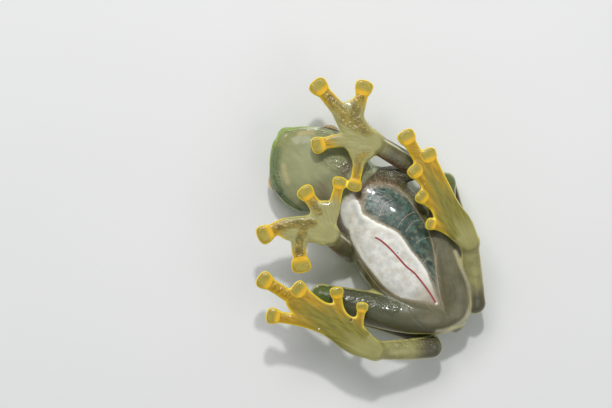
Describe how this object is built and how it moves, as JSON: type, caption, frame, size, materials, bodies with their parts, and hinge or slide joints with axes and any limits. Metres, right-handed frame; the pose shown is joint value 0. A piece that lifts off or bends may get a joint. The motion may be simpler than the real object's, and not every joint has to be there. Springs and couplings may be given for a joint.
{
  "type": "glass frog figure",
  "caption": "Still, life-size glass frog lying on its back, belly up, with palms, soles and toe discs spread flat as if pressed on glass.",
  "frame": {"origin": "on the ground, under the middle of the frog's bounding box as it lies on its back", "axes": "+Z up, out of the belly; +X to the right and +Y up as the underside is seen from above, the snout pointing to -X +Y"},
  "size_m": [0.0233, 0.0285, 0.0076],
  "materials": {
    "belly_skin": "clear wet belly skin, silver white organ sac, dark teal gut and a red vein showing through",
    "head_skin": "moist sage green skin, dark teal lip, fine grain",
    "eye": "wet gold iris with dark flecks and a horizontal pupil",
    "arm_skin": "moist translucent olive brown skin",
    "leg_skin": "moist translucent grey brown skin, yellow green edge",
    "hand_skin": "moist golden yellow discs with grey olive centres, olive palm",
    "foot_skin": "moist olive yellow sole with pale streaks, golden discs and rims"
  },
  "bodies": {
    "root": {"torso": "belly_skin", "head": "head_skin", "eye_left": "eye", "eye_right": "eye", "upper_arm_left": "arm_skin", "upper_arm_right": "arm_skin", "forearm_left": "arm_skin", "forearm_right": "arm_skin", "hand_left": "hand_skin", "hand_right": "hand_skin", "thigh_left": "leg_skin", "thigh_right": "leg_skin", "shank_left": "leg_skin", "shank_right": "leg_skin", "tarsus_left": "leg_skin", "tarsus_right": "leg_skin", "foot_left": "foot_skin", "foot_right": "foot_skin"}
  },
  "joints": []
}
